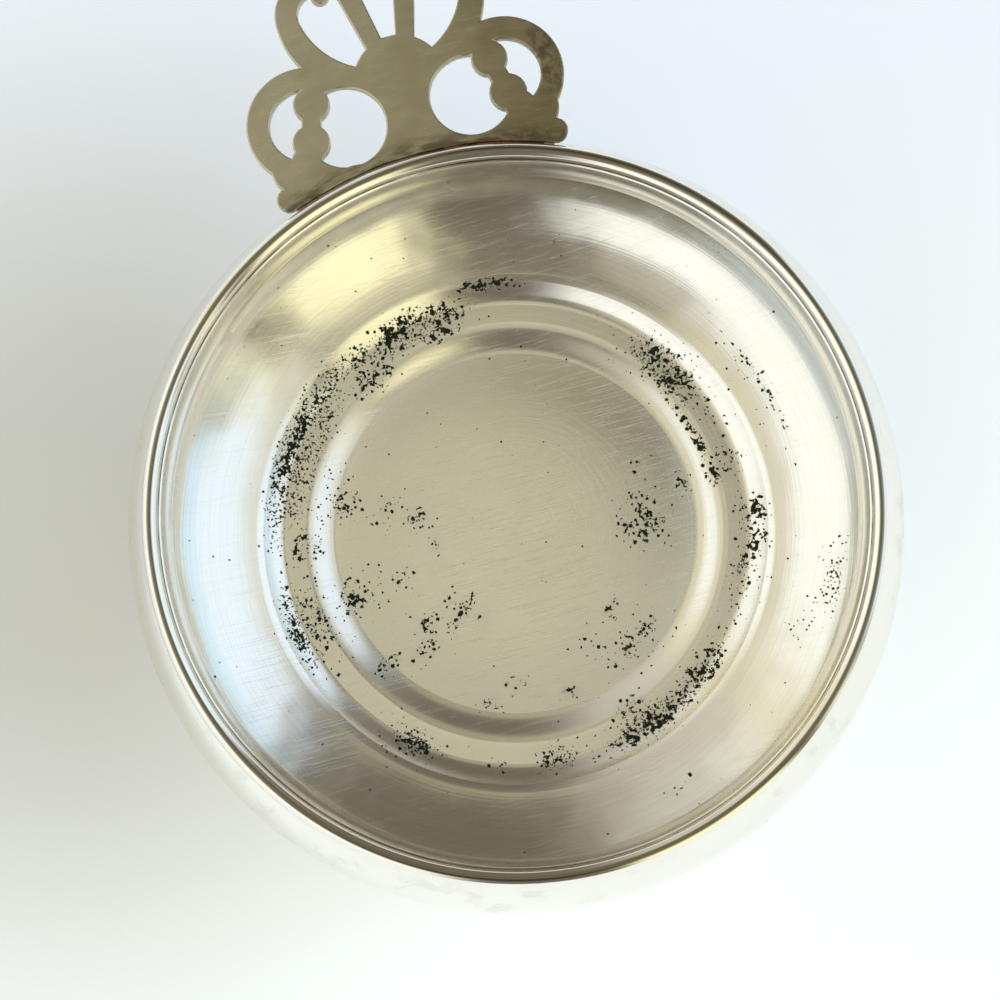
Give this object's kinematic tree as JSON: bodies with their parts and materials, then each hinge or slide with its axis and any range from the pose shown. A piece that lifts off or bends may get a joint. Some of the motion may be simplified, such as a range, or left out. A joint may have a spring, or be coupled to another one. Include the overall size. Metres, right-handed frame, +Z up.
{
  "type": "porringer",
  "caption": "Shallow round metal bowl with a rounded belly, drawn-in neck, stepped sunken base, beaded rim and one flat pierced tab handle level with the rim; for serving and eating.",
  "frame": {"origin": "on the bowl's axis, in the flat face under the base that the porringer stands on", "axes": "+Z up along the bowl's axis, +Y along the handle away from the bowl, +X across the handle"},
  "size_m": [0.127, 0.1657, 0.045],
  "materials": {
    "bowl_plate": "silver plate on copper, worn satin polish with fine scratches and dark corrosion pits",
    "rim_plate": "silver plate, polished by handling, tarnish in the crease",
    "handle_plate": "silver plate, satin, brown tarnish towards the joint",
    "solder": "dull, dark with tarnish"
  },
  "bodies": {
    "root": {"bowl": "bowl_plate", "rim_wire": "rim_plate", "pierced_handle": "handle_plate", "handle_solder": "solder"}
  },
  "joints": []
}
